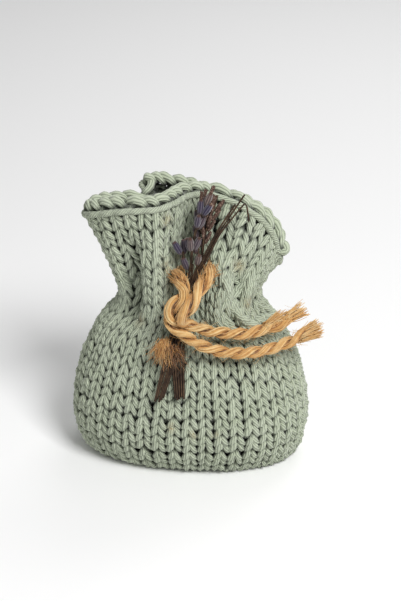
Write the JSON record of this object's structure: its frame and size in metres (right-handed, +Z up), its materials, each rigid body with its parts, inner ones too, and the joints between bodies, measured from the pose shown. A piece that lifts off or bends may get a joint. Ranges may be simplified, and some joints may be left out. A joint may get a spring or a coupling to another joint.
{
  "type": "lavender sachet",
  "caption": "Hand-knitted cotton lavender sachet gathered at the neck by a jute drawstring, holding a liner of buds, with a bunch of dried lavender tied on its front.",
  "frame": {"origin": "centre of the flat base that the bag stands on", "axes": "+Z up from the base to the mouth, +X to the right seen from the front, -Y towards the viewer of the front"},
  "size_m": [0.1148, 0.0652, 0.1253],
  "materials": {
    "cotton_yarn": "matt plied cotton yarn, sage green",
    "organza": "sheer woven organza, dull green",
    "jute": "coarse hairy jute twine, golden tan",
    "dry_stem": "dried stalk, dark brown",
    "dry_flower": "dried calyxes, dull violet grey"
  },
  "bodies": {
    "bag": {"knit_bag": "cotton_yarn", "side_seam_left": "cotton_yarn", "side_seam_right": "cotton_yarn", "liner_pouch": "organza", "liner_tie": "cotton_yarn", "lavender_fill": "dry_flower", "neck_drawstring": "jute", "twine_strand_upper": "jute", "twine_strand_lower": "jute", "knot_tuft": "jute"},
    "bunch": {"sprig_tall": "dry_flower", "sprig_left": "dry_flower", "sprig_middle": "dry_flower", "sprig_right": "dry_flower", "stem_short_front": "dry_stem", "stem_short_left": "dry_stem", "stem_short_right": "dry_stem", "stem_bare_1": "dry_stem", "stem_bare_2": "dry_stem", "stem_bare_3": "dry_stem"},
    "tail_upper": {"twine_tail_upper": "jute"},
    "tail_lower": {"twine_tail_lower": "jute"}
  },
  "joints": [
    {"name": "bunch_draw", "type": "slide", "parent": "bag", "child": "bunch", "axis": [0.2055, 0.3666, 0.9074], "range_m": [0, 0.025]},
    {"name": "upper_tail_swing", "type": "hinge", "parent": "bag", "child": "tail_upper", "pos_m": [0.004, -0.0253, 0.074], "axis": [0, 0, -1], "range_deg": [0, 60]},
    {"name": "lower_tail_swing", "type": "hinge", "parent": "bag", "child": "tail_lower", "pos_m": [0.004, -0.0284, 0.066], "axis": [0, 0, -1], "range_deg": [0, 60]}
  ]
}
